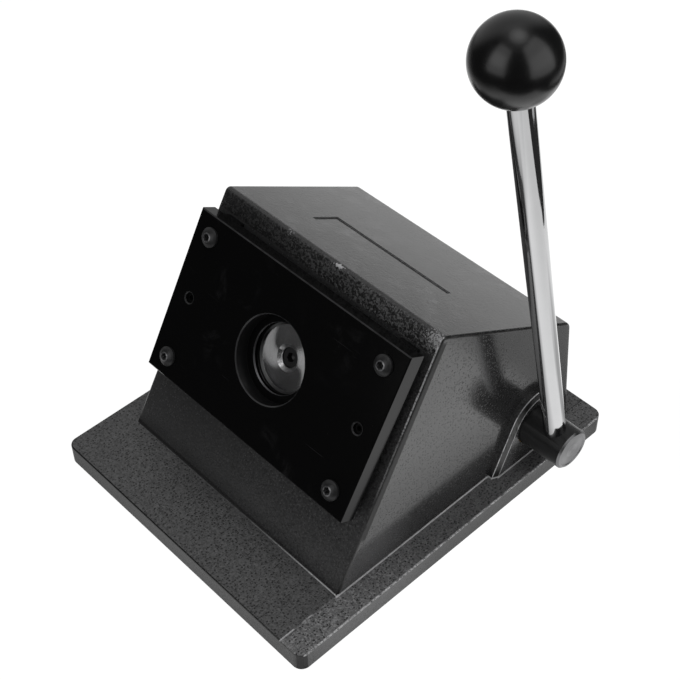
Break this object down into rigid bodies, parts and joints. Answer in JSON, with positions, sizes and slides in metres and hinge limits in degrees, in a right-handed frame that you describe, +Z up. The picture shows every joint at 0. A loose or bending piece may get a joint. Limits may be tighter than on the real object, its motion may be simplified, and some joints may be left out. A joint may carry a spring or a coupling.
{
  "type": "circle badge cutter",
  "caption": "Desk-top disc cutter for badges: wedge casting with a slanted die plate, a round punch driven by a cam on a cross-shaft, and a hand lever with a ball knob.",
  "frame": {"origin": "middle of the base footprint, on the surface that the machine stands on", "axes": "+Z up, the die plate faces -Y, the lever stands on the +X side"},
  "size_m": [0.231, 0.245, 0.3445],
  "materials": {
    "hammertone": "semi-gloss black hammertone paint on an aluminium casting",
    "black_oxide": "black-oxide ground steel",
    "dark_steel": "black-oxide screw steel",
    "steel": "turned and ground bright steel",
    "shaft_steel": "dark turned steel",
    "bronze": "plain bearing bronze",
    "brass": "machined brass",
    "cover_paint": "satin black sheet steel",
    "rubber": "matt black rubber sheet",
    "chrome": "polished chrome plate",
    "phenolic": "polished black phenolic"
  },
  "bodies": {
    "frame": {"housing": "hammertone", "guide_plate": "black_oxide", "guide_screws": "dark_steel", "spacer_strips": "black_oxide", "die_plate": "black_oxide", "die_screws": "dark_steel", "dowel_pins": "dark_steel", "shaft_bushes": "bronze", "ram_bush": "bronze", "return_spring": "steel", "bottom_cover": "cover_paint", "cover_screws": "dark_steel", "base_mat": "rubber"},
    "lever": {"drive_shaft": "shaft_steel", "cam": "steel", "cam_pin": "steel", "shaft_collars": "steel", "collar_screws": "dark_steel", "lever_rod": "chrome", "ball_knob": "phenolic", "knob_insert": "brass"},
    "ram": {"ram": "steel", "punch": "steel", "punch_screw": "dark_steel", "wear_pad": "steel"}
  },
  "joints": [
    {"name": "lever_hinge", "type": "hinge", "parent": "frame", "child": "lever", "pos_m": [0, 0.06849, 0.041], "axis": [1, 0, 0], "range_deg": [0, 75], "stiffness_Nm_per_rad": 1, "springref_deg": -34.38},
    {"name": "ram_slide", "type": "slide", "parent": "frame", "child": "ram", "axis": [0, -0.866, 0.5], "range_m": [0, 0.01], "deforming": ["return_spring"]}
  ],
  "couplings": [
    {"joint": "ram_slide", "follows": "lever_hinge", "m_per_rad": 0.0076394}
  ]
}
